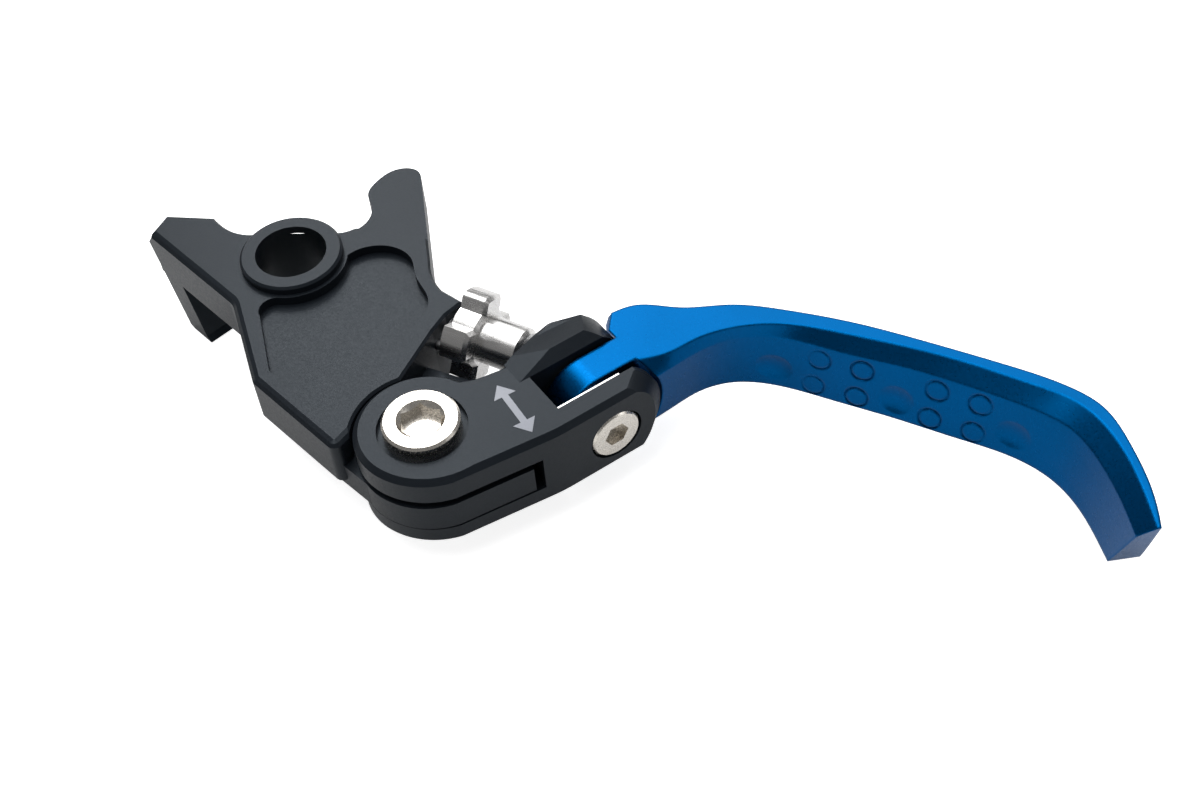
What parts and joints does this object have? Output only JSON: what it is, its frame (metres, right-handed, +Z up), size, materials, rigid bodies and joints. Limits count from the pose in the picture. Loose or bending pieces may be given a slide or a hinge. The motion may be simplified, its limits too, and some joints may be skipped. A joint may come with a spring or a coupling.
{
  "type": "clutch lever",
  "caption": "Folding, reach-adjustable motorcycle clutch lever with a pivot boss, cable arm and short finger blade.",
  "frame": {"origin": "centre of the main pivot bore, level with the top of its boss", "axes": "+Z up along the main pivot bore, +X out along the finger blade, +Y back towards the handlebar"},
  "size_m": [0.1723, 0.0636, 0.0233],
  "materials": {
    "black": "satin black anodised",
    "blue": "satin blue anodised",
    "bright": "machined bright",
    "nickel": "nickel plated",
    "steel": "plain",
    "bronze": "plain bronze"
  },
  "bodies": {
    "base": {"base": "black", "pivot_bush": "bronze", "adjuster_insert": "steel", "detent_spring": "steel", "reach_spring": "steel"},
    "adjuster_shoe": {"thrust_shoe": "steel", "detent_pin": "steel"},
    "adjuster_screw": {"adjuster_wheel": "bright", "adjuster_stud": "steel"},
    "knuckle": {"knuckle": "black", "pivot_bolt": "nickel", "pivot_nut": "steel", "pivot_nut_washer": "steel", "pivot_washer_top": "steel", "pivot_washer_bottom": "steel", "fold_bolt": "nickel", "fold_nut": "nickel", "fold_shim": "bright", "fold_washer_front": "steel", "fold_washer_rear": "steel", "fold_plunger": "steel", "fold_spring": "steel"},
    "blade": {"blade": "blue", "fold_bush": "bronze"}
  },
  "joints": [
    {"name": "reach", "type": "hinge", "parent": "base", "child": "knuckle", "pos_m": [0.0383, -0.0252, -0.00885], "axis": [0, 0, 1], "range_deg": [-3.5, 2]},
    {"name": "adjuster_travel", "type": "slide", "parent": "base", "child": "adjuster_shoe", "axis": [0.9971, -0.0767, 0], "range_m": [-0.0015, 0.0015]},
    {"name": "adjuster_turn", "type": "hinge", "parent": "adjuster_shoe", "child": "adjuster_screw", "pos_m": [0.0303, -0.00094, -0.0056], "axis": [0.9971, -0.0767, 0], "range_deg": [-600, 600]},
    {"name": "fold", "type": "hinge", "parent": "knuckle", "child": "blade", "pos_m": [0.0635, -0.0098, -0.0089], "axis": [0.8558, -0.5173, 0], "range_deg": [0, 75]}
  ],
  "couplings": [
    {"joint": "adjuster_travel", "follows": "reach", "m_per_rad": -0.0233},
    {"joint": "adjuster_turn", "follows": "reach", "ratio": -146.4}
  ]
}
